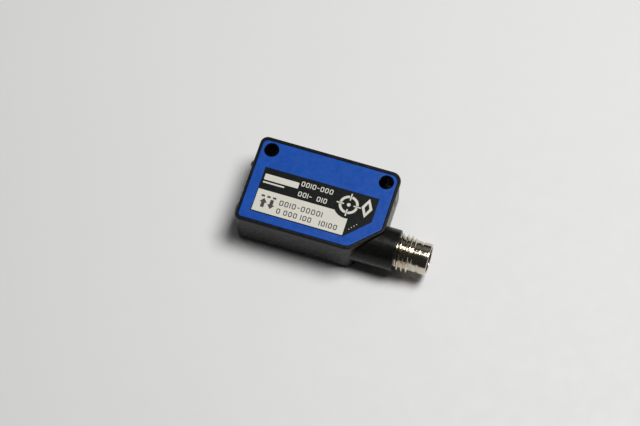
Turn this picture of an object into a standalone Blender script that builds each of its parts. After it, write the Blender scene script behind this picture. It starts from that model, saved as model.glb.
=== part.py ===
"""Miniature photoelectric sensor: a black tub with a blue side cover, an optical head behind the
front window, a circuit board, a teach-in button and a male M8 connector.

Frame: the sensor lies on its mounting side. +Z points from the mounting side to the label side, +X
points along the housing to the connector, and +Y to the optical front. The origin is on the mounting
side, midway between the two screw holes. Sizes are in millimetres, and place() turns them to metres.
"""

import math

import bmesh
import bpy
from mathutils import Matrix, Vector

MM = 0.001
ALONG_X = (0.0, math.pi / 2, 0.0)  # turns a piece made about local +Z to point along +X
ALONG_Y = (-math.pi / 2, 0.0, 0.0)  # the same, to point along +Y

# Driving dimensions of the housing
BODY_LENGTH = 31.0
BODY_DEPTH = 20.0
BODY_WIDTH = 11.0
HOLE_SPACING = 25.4
HOLE_FROM_FRONT = 2.9
HOLE_D = 3.1
CHAMFER = 6.1
WALL = 1.2
RIM = 0.55  # the black edge that shows round the cover, wider along the front
FRONT_RIM = 0.75
LABEL_EDGE = (0.35, 0.35)  # rounding of the edges round the label side: in from the wall, down from the face
MOUNTING_EDGE = (1.0, 1.8)  # the same, round the mounting side
BACK_CORNER_R = 1.3
CHAMFER_CORNER_R = 1.5
CONNECTOR_CORNER_R = 2.1
BUTTON_CORNER_R = 1.7
FIT = 0.05  # clearance between pieces that are glued, pressed or slid together

# Places that follow from them
HOLE_X = HOLE_SPACING / 2
X_LOW = -BODY_LENGTH / 2
X_HIGH = BODY_LENGTH / 2
Y_HIGH = HOLE_FROM_FRONT
Y_LOW = Y_HIGH - BODY_DEPTH
Y_BACK_WALL = Y_LOW + WALL
X_END_WALL = X_LOW + WALL

# Side cover and type label
COVER_T = 0.5
COVER_Z = BODY_WIDTH - COVER_T
LEDGE_Z = COVER_Z - FIT
COVER_HOLE_D = 3.2
POCKET_DEPTH = 0.12
LABEL_T = 0.10
LABEL_X = (X_LOW + 2.85, X_LOW + 27.95)
LABEL_Y = (Y_LOW + 2.5, Y_LOW + 12.9)
LABEL_CUT = 4.9

# Screw bosses
BOSS_R = 2.35

# Male M8 connector, along +X
PLUG_Y = Y_LOW + 5.0
PLUG_Z = BODY_WIDTH / 2
COLLAR_R = 4.5
COLLAR_END = X_HIGH + 3.4
COLLAR_START = 8.6
COLLAR_BORE_R = 3.55
SHANK_START = 15.4
NOSE_END = X_HIGH + 10.4
CUP_R = 2.85
THREAD_R = 4.0
THREAD_ROOT_R = 3.45
THREAD_PITCH = 1.0
THREAD_END = COLLAR_END + 3.7
NOSE_R = 3.45
CARRIER_FACE = COLLAR_END + 0.7
CARRIER_START = 10.6
PIN_R = 0.5
PIN_TIP = NOSE_END - 1.5
PIN_REAR = 7.3
PIN_PLACES = ((-1.45, 0.95), (1.45, 0.95), (-0.9, -1.35), (0.9, -1.35))

# Teach-in button, along +X through the end wall
BUTTON_Y = Y_LOW + 4.0
BUTTON_Z = BODY_WIDTH / 2
BUTTON_R = 1.8
BUTTON_PROUD = 1.05
BUTTON_FLANGE_R = 2.2
BUTTON_TRAVEL = 0.4
SEAL_T = 0.3
FLANGE_T = 0.5
SWITCH_START = -12.8
SWITCH_LENGTH = 2.8
PLUNGER_R = 0.6

# Status light guides
GUIDE_Y = Y_LOW + 14.2
GUIDE_Z = (3.3, 7.7)
GUIDE_R = 1.0
GUIDE_PROUD = 0.95
GUIDE_HALF = 0.7
GUIDE_ARM_Y = (GUIDE_Y - 1.35, GUIDE_Y + 0.35)

# Optics, along +Y
LENS_Z = 6.4
LENS_R = 2.8
WINDOW_HALF = 9.6
WINDOW_Z = (1.7, 9.4)
WINDOW_T = 0.95
HEAD_X = (-4.4, 7.2)
HEAD_Y = (-10.6, 1.2)
HEAD_Z = (2.9, 9.9)

# Circuit board
BOARD_Z = (2.0, 2.8)
BOARD_POSTS = ((-12.6, -9.6), (6.4, -14.6), (-8.6, 0.2), (8.6, 0.2))
PART_Z = BOARD_Z[1] + FIT

MATERIALS = {
    "black_abs": ((0.028, 0.028, 0.030), 0.45, 0.0),
    "blue_abs": ((0.020, 0.085, 0.420), 0.40, 0.0),
    "label_film": ((0.020, 0.020, 0.022), 0.45, 0.0),
    "black_button": ((0.020, 0.020, 0.021), 0.55, 0.0),
    "clear_acrylic": ((0.10, 0.03, 0.03), 0.05, 0.0),
    "lens_acrylic": ((0.85, 0.87, 0.88), 0.03, 0.0),
    "polarising_film": ((0.16, 0.17, 0.18), 0.20, 0.0),
    "splitter_glass": ((0.75, 0.78, 0.80), 0.05, 0.6),
    "light_guide": ((0.10, 0.10, 0.10), 0.12, 0.0),
    "circuit_board": ((0.020, 0.160, 0.070), 0.50, 0.0),
    "chip_epoxy": ((0.025, 0.025, 0.025), 0.60, 0.0),
    "capacitor_ceramic": ((0.42, 0.30, 0.19), 0.50, 0.0),
    "resistor_ceramic": ((0.05, 0.05, 0.06), 0.50, 0.0),
    "tantalum": ((0.75, 0.47, 0.08), 0.50, 0.0),
    "led_clear": ((0.80, 0.78, 0.70), 0.20, 0.0),
    "switch_steel": ((0.60, 0.60, 0.60), 0.35, 1.0),
    "nickel": ((0.72, 0.69, 0.62), 0.22, 1.0),
    "gold": ((0.90, 0.68, 0.28), 0.25, 1.0),
    "rubber": ((0.02, 0.02, 0.02), 0.80, 0.0),
}


# Blender helpers


def clear_scene():
    for item in list(bpy.data.objects):
        bpy.data.objects.remove(item, do_unlink=True)


def material(name):
    found = bpy.data.materials.get(name)
    if found:
        return found
    colour, roughness, metallic = MATERIALS[name]
    made = bpy.data.materials.new(name)
    made.use_nodes = True
    shader = made.node_tree.nodes["Principled BSDF"]
    shader.inputs["Base Color"].default_value = (*colour, 1.0)
    shader.inputs["Roughness"].default_value = roughness
    shader.inputs["Metallic"].default_value = metallic
    return made


def empty(name, location=(0.0, 0.0, 0.0), parent=None):
    made = bpy.data.objects.new(name, None)
    made.location = Vector(location) * MM
    made.parent = parent
    bpy.context.scene.collection.objects.link(made)
    return made


def place(name, bm, finish=None, parent=None, location=(0.0, 0.0, 0.0), rotation=(0.0, 0.0, 0.0)):
    """Turns a bmesh in millimetres into an object in metres. One with no finish is a hidden helper."""
    bmesh.ops.recalc_face_normals(bm, faces=bm.faces)
    bm.transform(Matrix.Scale(MM, 4))
    mesh = bpy.data.meshes.new(name)
    bm.to_mesh(mesh)
    bm.free()
    made = bpy.data.objects.new(name, mesh)
    made.location = Vector(location) * MM
    made.rotation_euler = rotation
    made.parent = parent
    bpy.context.scene.collection.objects.link(made)
    if finish:
        mesh.materials.append(material(finish))
        mesh.shade_smooth()
        mesh.set_sharp_from_angle(angle=math.radians(35))
    else:
        made.hide_render = True
        made.display_type = "WIRE"
    return made


def boolean(target, helper, operation):
    modifier = target.modifiers.new(f"{operation.lower()} {helper.name}", "BOOLEAN")
    modifier.operation = operation
    modifier.object = helper
    modifier.solver = "EXACT"


def cut(target, *cutters):
    for cutter in cutters:
        boolean(target, cutter, "DIFFERENCE")


def join(target, *others):
    for other in others:
        boolean(target, other, "UNION")


# Shapes, each made in millimetres


def outline(corners, inset=0.0, steps=5):
    """Points round a convex outline, anticlockwise. A corner is (x, y, radius), and steps are to 90 degrees.
    The inset shrinks the outline evenly, and every inset has as many points."""
    points = []
    for i, (x, y, radius) in enumerate(corners):
        here = Vector((x, y))
        along = (here - Vector(corners[i - 1][:2])).normalized()
        onward = (Vector(corners[(i + 1) % len(corners)][:2]) - here).normalized()
        inward = Vector((-along.y, along.x)), Vector((-onward.y, onward.x))
        reach = max(radius, inset + 0.05)
        centre = here + (inward[0] + inward[1]) * reach / (1 + inward[0].dot(inward[1]))
        start = math.atan2(-inward[0].y, -inward[0].x)
        sweep = (math.atan2(-inward[1].y, -inward[1].x) - start) % (2 * math.pi)
        count = max(1, round(steps * sweep / (math.pi / 2)))
        for k in range(count + 1):
            angle = start + sweep * k / count
            points.append(centre + (reach - inset) * Vector((math.cos(angle), math.sin(angle))))
    return points


def loft(rings):
    """One solid through a stack of rings of 3-D points, all with as many points."""
    bm = bmesh.new()
    made = [[bm.verts.new(point) for point in ring] for ring in rings]
    for low, high in zip(made, made[1:]):
        for i in range(len(low)):
            j = (i + 1) % len(low)
            bm.faces.new((low[i], low[j], high[j], high[i]))
    bm.faces.new(made[0])
    bm.faces.new(made[-1])
    return bm


def prism(points, low, high):
    return loft([[(p[0], p[1], z) for p in points] for z in (low, high)])


def box(low, high):
    (x0, y0, z0), (x1, y1, z1) = low, high
    return prism([(x0, y0), (x1, y0), (x1, y1), (x0, y1)], z0, z1)


def block(size, chamfer=0.0):
    """A box centred on X and Y and standing on Z = 0, with its top edges chamfered."""
    half = size[0] / 2, size[1] / 2
    rings = [(0.0, 0.0), (size[2] - chamfer, 0.0)] + ([(size[2], chamfer)] if chamfer else [])
    return loft(
        [
            [
                (sx * (half[0] - inset), sy * (half[1] - inset), z)
                for sx, sy in ((-1, -1), (1, -1), (1, 1), (-1, 1))
            ]
            for z, inset in rings
        ]
    )


def turned(profile, segments, closed=False):
    """A solid turned about Z. The profile's points are (radius, height), where radius may be a function of
    the share of a turn. A profile that isn't closed begins and ends on the axis."""
    bm = bmesh.new()
    rings = []
    for radius, height in profile:
        if radius == 0:
            rings.append([bm.verts.new((0.0, 0.0, height))])
            continue
        ring = []
        for i in range(segments):
            turn = i / segments
            r = radius(turn) if callable(radius) else radius
            angle = 2 * math.pi * turn
            ring.append(bm.verts.new((r * math.cos(angle), r * math.sin(angle), height)))
        rings.append(ring)
    pairs = list(zip(rings, rings[1:])) + ([(rings[-1], rings[0])] if closed else [])
    for low, high in pairs:
        for i in range(segments):
            j = (i + 1) % segments
            corners = [low[i % len(low)], low[j % len(low)], high[j % len(high)], high[i % len(high)]]
            bm.faces.new(list(dict.fromkeys(corners)))
    return bm


def rod(radius, low, high, segments=24, chamfer=0.0):
    profile = [(0, low), (radius, low), (radius, high - chamfer)]
    if chamfer:
        profile.append((radius - chamfer, high))
    return turned([*profile, (0, high)], segments)


def tube(inner, outer, low, high, segments=24):
    return turned([(inner, low), (outer, low), (outer, high), (inner, high)], segments, closed=True)


def dome(radius, base, top, start, segments=20, steps=4):
    """A turned solid whose profile begins with start and ends rounded, from its side at base to the axis at top."""
    points = list(start)
    for k in range(steps):
        angle = k * math.pi / 2 / steps
        points.append((radius * math.cos(angle), base + (top - base) * math.sin(angle)))
    return turned([*points, (0, top)], segments)


# Housing and cover


def housing_corners():
    """The housing's outline, from the back corner at the button end, anticlockwise from the label side."""
    return [
        (X_LOW, Y_LOW, BACK_CORNER_R),
        (X_HIGH - CHAMFER, Y_LOW, CHAMFER_CORNER_R),
        (X_HIGH, Y_LOW + CHAMFER, CHAMFER_CORNER_R),
        (X_HIGH, Y_HIGH, CONNECTOR_CORNER_R),
        (X_LOW, Y_HIGH, BUTTON_CORNER_R),
    ]


def rebate_corners():
    """The outline of the rebate that the cover sits in, in the same order."""
    slant = RIM * math.tan(math.radians(22.5))
    return [
        (X_LOW + RIM, Y_LOW + RIM, BACK_CORNER_R - RIM),
        (X_HIGH - CHAMFER - slant, Y_LOW + RIM, CHAMFER_CORNER_R - RIM),
        (X_HIGH - RIM, Y_LOW + CHAMFER + slant, CHAMFER_CORNER_R - RIM),
        (X_HIGH - RIM, Y_HIGH - FRONT_RIM, CONNECTOR_CORNER_R - RIM),
        (X_LOW + RIM, Y_HIGH - FRONT_RIM, BUTTON_CORNER_R - RIM),
    ]


def label_points(grow):
    """The label's outline: a rectangle with the corner next to the connector cut off."""
    (x0, x1), (y0, y1) = LABEL_X, LABEL_Y
    slant = grow * math.tan(math.radians(22.5))
    return [
        (x0 - grow, y0 - grow),
        (x1 - LABEL_CUT + slant, y0 - grow),
        (x1 + grow, y0 + LABEL_CUT - slant),
        (x1 + grow, y1 + grow),
        (x0 - grow, y1 + grow),
    ]


def edge_rings(height, way, rounding, steps=4):
    """Insets and heights that round an edge, from the face at this height to the wall, up or down."""
    inward, along = rounding
    angles = [k * math.pi / 2 / steps for k in range(steps + 1)]
    return [(height + way * along * (1 - math.cos(a)), inward * (1 - math.sin(a))) for a in angles]


def lofted_outline(corners, rings):
    return loft([[(p.x, p.y, z) for p in outline(corners, inset)] for z, inset in rings])


def make_housing(sensor):
    corners = housing_corners()
    rings = edge_rings(0.0, 1, MOUNTING_EDGE) + edge_rings(BODY_WIDTH, -1, LABEL_EDGE)[::-1]
    housing = place("housing", lofted_outline(corners, rings), "black_abs", sensor)
    above = BODY_WIDTH + 1
    cut(housing, place("cut_cavity", prism(outline(corners, WALL), WALL, above)))
    cut(housing, *window_cutters(), *end_wall_cutters())
    for side in (-1, 1):
        boss = rod(BOSS_R, WALL / 2, LEDGE_Z + 0.3, 32)
        join(housing, place(f"add_boss_{side}", boss, location=(side * HOLE_X, 0, 0)))
    cut(housing, place("cut_rebate", prism(outline(rebate_corners()), LEDGE_Z, above)))
    for x, y in BOARD_POSTS:
        post = rod(0.8, WALL / 2, BOARD_Z[0] - FIT, 12)
        join(housing, place(f"add_post_{x}_{y}", post, location=(x, y, 0)))
    for side in (-1, 1):
        bore = rod(HOLE_D / 2, -1, above, 32)
        cut(housing, place(f"cut_boss_{side}", bore, location=(side * HOLE_X, 0, 0)))

    axis = (0, PLUG_Y, PLUG_Z)
    collar = rod(COLLAR_R, COLLAR_START, COLLAR_END, 56, 0.3)
    bore = rod(COLLAR_BORE_R, COLLAR_START - 1, COLLAR_END + 1, 40)
    join(housing, place("add_collar", collar, location=axis, rotation=ALONG_X))
    cut(housing, place("cut_collar", bore, location=axis, rotation=ALONG_X))


def end_wall_cutters():
    """The openings for the button and the two light guides, and a shallow slot at the other end."""
    holes = [("button", BUTTON_R + FIT, X_LOW, BUTTON_Y, BUTTON_Z)]
    holes += [(f"guide_{z}", GUIDE_R + FIT, X_LOW, GUIDE_Y, z) for z in GUIDE_Z]
    cutters = []
    for name, radius, x, y, z in holes:
        hole = rod(radius, -1, WALL + 1, 24)
        cutters.append(place(f"cut_{name}", hole, location=(x, y, z), rotation=ALONG_X))
    slot = box((X_HIGH - 0.4, Y_LOW + 14.75, 4.6), (X_HIGH + 1, Y_LOW + 15.25, 8.4))
    return [*cutters, place("cut_slot", slot)]


def window_outline(grow):
    (z0, z1), half = WINDOW_Z, WINDOW_HALF
    corners = [(-half, z0, 0.8), (half, z0, 0.8), (half, z1, 0.8), (-half, z1, 0.8)]
    return outline(corners, -grow, 3)


def along_y(points, low, high):
    """A prism whose outline is in X and Z and which runs along Y."""
    return loft([[(p[0], y, p[1]) for p in points] for y in (low, high)])


def window_cutters():
    """The front wall's recess, where the window sits, and the opening behind it."""
    floor = Y_HIGH - WINDOW_T - FIT
    recess = along_y(window_outline(0.0), floor, Y_HIGH + 1)
    opening = along_y(window_outline(-0.75), Y_HIGH - WALL - 0.3, floor + 0.5)
    return place("cut_window_recess", recess), place("cut_window_opening", opening)


def make_cover(sensor):
    edge = 0.12
    rings = [(COVER_Z, FIT), (BODY_WIDTH - edge, FIT), (BODY_WIDTH, FIT + edge)]
    cover = place("side_cover", lofted_outline(rebate_corners(), rings), "blue_abs", sensor)
    above = BODY_WIDTH + 1
    for side in (-1, 1):
        hole = rod(COVER_HOLE_D / 2, COVER_Z - 1, above, 32)
        cut(cover, place(f"cut_cover_{side}", hole, location=(side * HOLE_X, 0, 0)))
    pocket = prism(label_points(FIT), BODY_WIDTH - POCKET_DEPTH, above)
    cut(cover, place("cut_label_pocket", pocket))
    place("type_label", prism(label_points(0.0), BODY_WIDTH - LABEL_T, BODY_WIDTH), "label_film", sensor)


# Optics


def make_window(sensor):
    pane = along_y(window_outline(-FIT), Y_HIGH - WINDOW_T, Y_HIGH)
    place("front_window", pane, "clear_acrylic", sensor)


def make_optics_carrier(sensor):
    (x0, x1), (y0, y1), (z0, z1) = HEAD_X, HEAD_Y, HEAD_Z
    floor, above = z0 + 0.9, z1 + 1
    carrier = place("optics_carrier", box((x0, y0, z0), (x1, y1, z1)), "black_abs", sensor)
    beam_room = box((-3.4, -9.8, floor), (3.4, -1.8, above))
    receiver_room = box((4.2, -7.8, floor), (6.6, -2.6, above))
    cut(carrier, place("cut_beam_room", beam_room), place("cut_receiver_room", receiver_room))
    seat_r = LENS_R + FIT
    stepped = [(0, -2.5), (2.4, -2.5), (2.4, -1.0), (seat_r, -1.0), (seat_r, y1 + 1), (0, y1 + 1)]
    lens_seat = turned(stepped, 32)
    cut(carrier, place("cut_lens_seat", lens_seat, location=(0, 0, LENS_Z), rotation=ALONG_Y))
    emitter_port = rod(1.25, y0 - 1, -9.0, 20)
    cut(carrier, place("cut_emitter_port", emitter_port, location=(0, 0, LENS_Z), rotation=ALONG_Y))
    receiver_port = rod(1.6, 3.0, x1 + 1, 20)
    cut(carrier, place("cut_receiver_port", receiver_port, location=(0, -5.2, LENS_Z), rotation=ALONG_X))


def make_optics(sensor):
    axis = (0, 0, LENS_Z)
    lens_edge = [(0, -0.9), (LENS_R, -0.9)]
    place("collimator_lens", dome(LENS_R, 0.4, 1.35, lens_edge, 32, 5), "lens_acrylic", sensor, axis, ALONG_Y)
    film_z = HEAD_Z[0] + 0.95
    tilt = (0.0, 0.0, math.radians(-45))
    place("beam_splitter", block((8.2, 0.5, 5.6)), "splitter_glass", sensor, (0, -5.3, film_z), tilt)
    place("emitter_polariser", block((4.6, 0.3, 5.0)), "polarising_film", sensor, (0, -9.55, film_z))
    place("receiver_polariser", block((0.3, 4.6, 5.0)), "polarising_film", sensor, (4.4, -5.2, film_z))
    emitter = place("emitter_led", box((-1.6, -11.9, PART_Z), (1.6, -10.65, 8.2)), "led_clear", sensor)
    bulb = dome(1.0, -0.6, 0.4, [(0, -1.2), (1.0, -1.2)])
    join(emitter, place("add_emitter_bulb", bulb, location=(0, -10.4, LENS_Z), rotation=ALONG_Y))
    diode = box((HEAD_X[1] + 0.05, -6.9, PART_Z), (HEAD_X[1] + 1.15, -3.5, 8.4))
    place("receiver_photodiode", diode, "chip_epoxy", sensor)


# Circuit board and its parts


def make_main_board(sensor):
    points = [
        (-14.0, -15.6),
        (8.4, -15.6),
        (8.4, -7.2),
        (14.0, -7.2),
        (14.0, -2.95),
        (9.8, -2.95),
        (9.8, 1.4),
        (-9.8, 1.4),
        (-9.8, -2.95),
        (-14.0, -2.95),
    ]
    place("main_board", prism(points, *BOARD_Z), "circuit_board", sensor)


def transistor(name, x, y, sensor):
    """A small three-legged package. Its legs are joined to its body."""
    body = place(name, block((2.9, 1.3, 1.0), 0.15), "chip_epoxy", sensor, (x, y, PART_Z))
    for k, (dx, side) in enumerate(((-0.95, -1), (0.95, -1), (0.0, 1))):
        leg = box((dx - 0.2, min(0.3 * side, 1.2 * side), 0.0), (dx + 0.2, max(0.3 * side, 1.2 * side), 0.25))
        join(body, place(f"add_{name}_leg_{k}", leg, None, None, (x, y, PART_Z)))


def chip(name, finish, height, x, y, sensor):
    """A two-ended chip 1.6 x 0.8 mm, whose end caps stand a little proud of its body."""
    rings = []
    for along, proud in ((-0.8, 0.04), (-0.5, 0.04), (-0.5, 0.0), (0.5, 0.0), (0.5, 0.04), (0.8, 0.04)):
        low, high, half = 0.04 - proud, height + proud, 0.36 + proud
        rings.append([(along, -half, low), (along, half, low), (along, half, high), (along, -half, high)])
    place(name, loft(rings), finish, sensor, (x, y, PART_Z))


def make_board_parts(sensor):
    place("signal_chip", block((4.0, 4.0, 0.9), 0.1), "chip_epoxy", sensor, (-7.2, -8.0, PART_Z))
    transistor("voltage_regulator", -7.2, -4.1, sensor)
    transistor("output_transistor_high", -6.6, -13.2, sensor)
    transistor("output_transistor_low", -3.0, -13.9, sensor)
    place("protection_diode", block((4.3, 2.6, 2.0), 0.2), "chip_epoxy", sensor, (4.0, -13.6, PART_Z))
    place("tantalum_capacitor", block((3.2, 1.6, 1.6), 0.1), "tantalum", sensor, (-7.2, -0.8, PART_Z))
    for k, (x, y) in enumerate(((11.0, -3.9), (11.0, -5.3), (-12.4, -9.9), (-12.4, -8.4)), 1):
        chip(f"capacitor_{k}", "capacitor_ceramic", 0.8, x, y, sensor)
    for k, (x, y) in enumerate(((11.0, -6.6), (-12.4, -6.9), (0.3, -14.6), (0.3, -13.2)), 1):
        chip(f"resistor_{k}", "resistor_ceramic", 0.45, x, y, sensor)
    for colour, x in (("yellow", -12.7), ("green", -10.6)):
        place(f"status_led_{colour}", block((0.8, 1.4, 0.7), 0.1), "led_clear", sensor, (x, -3.75, PART_Z))


def make_light_guides(sensor):
    """Two clear guides with domed heads in the end wall. The green one turns down to its diode."""
    z_low, z_high = GUIDE_Z
    inside = X_END_WALL + FIT
    arms = {
        "yellow": [(inside, 2.95), (-13.2, 2.95), (-13.2, 4.0), (inside, 4.0)],
        "green": [
            (inside, z_high - GUIDE_HALF),
            (-11.3, z_high - GUIDE_HALF),
            (-11.3, 3.75),
            (-9.9, 3.75),
            (-9.9, z_high - 0.1),
            (-10.7, z_high + GUIDE_HALF),
            (inside, z_high + GUIDE_HALF),
        ],
    }
    for colour, z in (("yellow", z_low), ("green", z_high)):
        foot = WALL + 0.15
        head = dome(GUIDE_R, -0.15, -GUIDE_PROUD, [(0, foot), (GUIDE_R, foot)])
        guide = place(f"light_guide_{colour}", head, "light_guide", sensor, (X_LOW, GUIDE_Y, z), ALONG_X)
        arm = along_y(arms[colour], *GUIDE_ARM_Y)
        join(guide, place(f"add_{colour}_arm", arm))


# Teach-in button and its switch


def make_button(sensor):
    """The button slides along +X. Its flange stops against the seal, which lies on the end wall."""
    axis = empty("button_axis", (X_END_WALL, BUTTON_Y, BUTTON_Z), sensor)
    flange = SEAL_T + 2 * FIT
    back = flange + FLANGE_T
    proud = -WALL - BUTTON_PROUD
    start = [(0, back), (BUTTON_FLANGE_R, back), (BUTTON_FLANGE_R, flange), (BUTTON_R, flange)]
    cap = dome(BUTTON_R, proud + 0.45, proud, start, 28)
    place("teach_button", cap, "black_button", axis, rotation=ALONG_X)
    ring = tube(BUTTON_R + FIT, BUTTON_FLANGE_R + FIT, FIT, FIT + SEAL_T, 28)
    place("button_seal", ring, "rubber", axis, rotation=ALONG_X)
    plunger_start = back + FIT
    switch_start = SWITCH_START - X_END_WALL
    plunger = rod(PLUNGER_R, plunger_start, switch_start + 0.8, 16)
    place("switch_plunger", plunger, "black_button", axis, rotation=ALONG_X)

    low = (SWITCH_START, BUTTON_Y - 2.0, PART_Z)
    high = (SWITCH_START + SWITCH_LENGTH, BUTTON_Y + 2.0, BUTTON_Z + 1.7)
    body = place("switch_body", box(low, high), "switch_steel", sensor)
    well = rod(PLUNGER_R + FIT, -1.0, 0.8 + BUTTON_TRAVEL + 0.1, 16)
    cut(body, place("cut_switch", well, location=(SWITCH_START, BUTTON_Y, BUTTON_Z), rotation=ALONG_X))


# Connector


def threaded_rod(low, high, columns=36):
    """A solid rod with the connector's thread on it. Both ends are ragged and reach past low and high."""
    bm = bmesh.new()
    shape = [(0.0, THREAD_R), (0.125, THREAD_R), (0.44, THREAD_ROOT_R), (0.685, THREAD_ROOT_R)]
    pitches = math.ceil((high - low) / THREAD_PITCH) + 2
    grid = []
    for i in range(columns):
        angle = 2 * math.pi * (i + 0.5) / columns
        column = []
        for n in range(pitches):
            for share, radius in shape:
                height = low + (n + share + i / columns - 1.5) * THREAD_PITCH
                column.append(bm.verts.new((radius * math.cos(angle), radius * math.sin(angle), height)))
        grid.append(column)
    last = len(grid[0]) - 1
    for i in range(columns):
        up = 0 if i + 1 < columns else len(shape)  # the last column meets the first one a pitch higher
        here, onward = grid[i], grid[(i + 1) % columns]
        for j in range(last - up):
            bm.faces.new((here[j], onward[j + up], onward[j + up + 1], here[j + 1]))
    bottom = [column[0] for column in grid] + grid[0][len(shape) : 0 : -1]
    top = [column[last] for column in grid] + grid[-1][last - 1 : last - len(shape) - 1 : -1]
    for rim, height in ((bottom, low - 3 * THREAD_PITCH), (top, high + 3 * THREAD_PITCH)):
        centre = bm.verts.new((0.0, 0.0, height))
        for k in range(len(rim)):
            bm.faces.new((centre, rim[k], rim[(k + 1) % len(rim)]))
    return bm


def make_connector_sleeve(plug):
    """A nickel-plated brass sleeve: a shank in the collar, the M8 thread, a snap ring groove and the nose."""
    face = COLLAR_END + FIT
    start = face + 0.1
    core = THREAD_ROOT_R - 0.1
    groove = THREAD_END + 1.1
    profile = [
        (CUP_R, SHANK_START),
        (COLLAR_BORE_R - FIT, SHANK_START),
        (COLLAR_BORE_R - FIT, face),
        (core, face),
        (core, THREAD_END + 0.2),
        (NOSE_R, THREAD_END + 0.3),
        (NOSE_R, groove),
        (NOSE_R - 0.2, groove + 0.1),
        (NOSE_R - 0.2, groove + 0.35),
        (NOSE_R, groove + 0.45),
        (NOSE_R, NOSE_END - 0.25),
        (NOSE_R - 0.2, NOSE_END),
        (CUP_R + 0.1, NOSE_END),
        (CUP_R, NOSE_END - 0.1),
    ]
    sleeve = place("connector_sleeve", turned(profile, 40, closed=True), "nickel", plug, rotation=ALONG_X)
    thread = place("add_thread", threaded_rod(start, THREAD_END), None, plug, rotation=ALONG_X)
    outside = THREAD_R + 0.05
    inside = (CUP_R + core) / 2
    envelope = [
        (inside, start),
        (outside - 0.3, start),
        (outside, start + 0.3),
        (outside, THREAD_END - 0.6),
        (core + 0.05, THREAD_END),
        (inside, THREAD_END),
    ]
    trim = place("trim_thread", turned(envelope, 44, closed=True), None, plug, rotation=ALONG_X)
    boolean(thread, trim, "INTERSECT")
    join(sleeve, thread)


def pin_place(k):
    across, up = PIN_PLACES[k]
    return (0, across, up)


def make_connector_insert(plug):
    """The contact carrier, its four pins, its sealing ring and the small board behind the pins."""
    wide = COLLAR_BORE_R - FIT
    groove = (12.4, 13.3)
    profile = [
        (0, CARRIER_START),
        (wide, CARRIER_START),
        (wide, groove[0]),
        (wide - 0.7, groove[0]),
        (wide - 0.7, groove[1]),
        (wide, groove[1]),
        (wide, SHANK_START - FIT),
        (CUP_R - FIT, SHANK_START - FIT),
        (CUP_R - FIT, CARRIER_FACE),
        (0, CARRIER_FACE),
    ]
    carrier = place("contact_carrier", turned(profile, 36), "black_abs", plug, rotation=ALONG_X)
    board_low, board_high = (7.6, -3.3, PART_Z - PLUG_Z), (8.4, 3.3, 3.4)
    board = place("connector_board", box(board_low, board_high), "circuit_board", plug)
    for k in range(len(PIN_PLACES)):
        hole = place(f"cut_pin_{k + 1}", rod(PIN_R + FIT, 6.0, 21.0, 12), None, plug, pin_place(k), ALONG_X)
        cut(carrier, hole)
        cut(board, hole)
        pin = rod(PIN_R, PIN_REAR, PIN_TIP, 12, 0.25)
        place(f"contact_pin_{k + 1}", pin, "gold", plug, pin_place(k), ALONG_X)
    middle, ring_r = sum(groove) / 2, 0.32
    section = [
        (wide - ring_r - FIT + ring_r * math.cos(a), middle + ring_r * math.sin(a))
        for a in (k * math.pi / 4 for k in range(8))
    ]
    place("carrier_seal_ring", turned(section, 28, closed=True), "rubber", plug, rotation=ALONG_X)


def main():
    clear_scene()
    sensor = empty("sensor")
    plug = empty("plug_axis", (0, PLUG_Y, PLUG_Z), sensor)
    make_housing(sensor)
    make_cover(sensor)
    make_window(sensor)
    make_optics_carrier(sensor)
    make_optics(sensor)
    make_main_board(sensor)
    make_board_parts(sensor)
    make_light_guides(sensor)
    make_button(sensor)
    make_connector_sleeve(plug)
    make_connector_insert(plug)


main()
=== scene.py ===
"""Looks of a miniature photoelectric sensor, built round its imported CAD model.

The frame is the CAD model's: metres, +Z from the mounting side to the label side, +X along the housing
to the connector, +Y to the optical front. Shapes are drawn in millimetres, and place() scales them.
"""

import math

import bmesh
import bpy
from mathutils import Matrix, Vector


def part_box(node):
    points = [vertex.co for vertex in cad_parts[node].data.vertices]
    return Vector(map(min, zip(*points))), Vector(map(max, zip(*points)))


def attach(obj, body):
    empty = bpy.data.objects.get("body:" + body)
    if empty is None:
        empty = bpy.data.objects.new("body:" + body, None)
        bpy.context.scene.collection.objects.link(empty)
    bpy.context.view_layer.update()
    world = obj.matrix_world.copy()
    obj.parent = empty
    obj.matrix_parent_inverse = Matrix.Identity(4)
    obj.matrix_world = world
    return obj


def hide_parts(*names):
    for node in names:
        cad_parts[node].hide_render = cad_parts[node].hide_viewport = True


MM = 0.001
ALONG_X = Matrix.Rotation(math.pi / 2, 4, "Y")
UPSIDE_DOWN = Matrix.Rotation(math.pi, 4, "X")
SMOOTH_ANGLE = math.radians(32)

# How far the ends of a 45 degree chamfer slide along their walls when an outline is drawn in by 1
CHAMFER_SLIDE = math.tan(math.radians(22.5))

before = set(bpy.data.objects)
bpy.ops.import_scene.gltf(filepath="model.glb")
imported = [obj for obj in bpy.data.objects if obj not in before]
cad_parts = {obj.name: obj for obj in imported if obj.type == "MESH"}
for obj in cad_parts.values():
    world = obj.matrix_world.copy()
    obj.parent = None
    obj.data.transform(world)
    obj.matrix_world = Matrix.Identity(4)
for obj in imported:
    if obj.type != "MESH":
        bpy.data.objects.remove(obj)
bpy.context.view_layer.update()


def box_mm(node):
    """Lowest and highest corner of a CAD node, in millimetres."""
    low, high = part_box(node)
    return low / MM, high / MM


def centre_mm(node):
    """Middle of a CAD node's box, in millimetres."""
    low, high = box_mm(node)
    return (low + high) / 2


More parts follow.
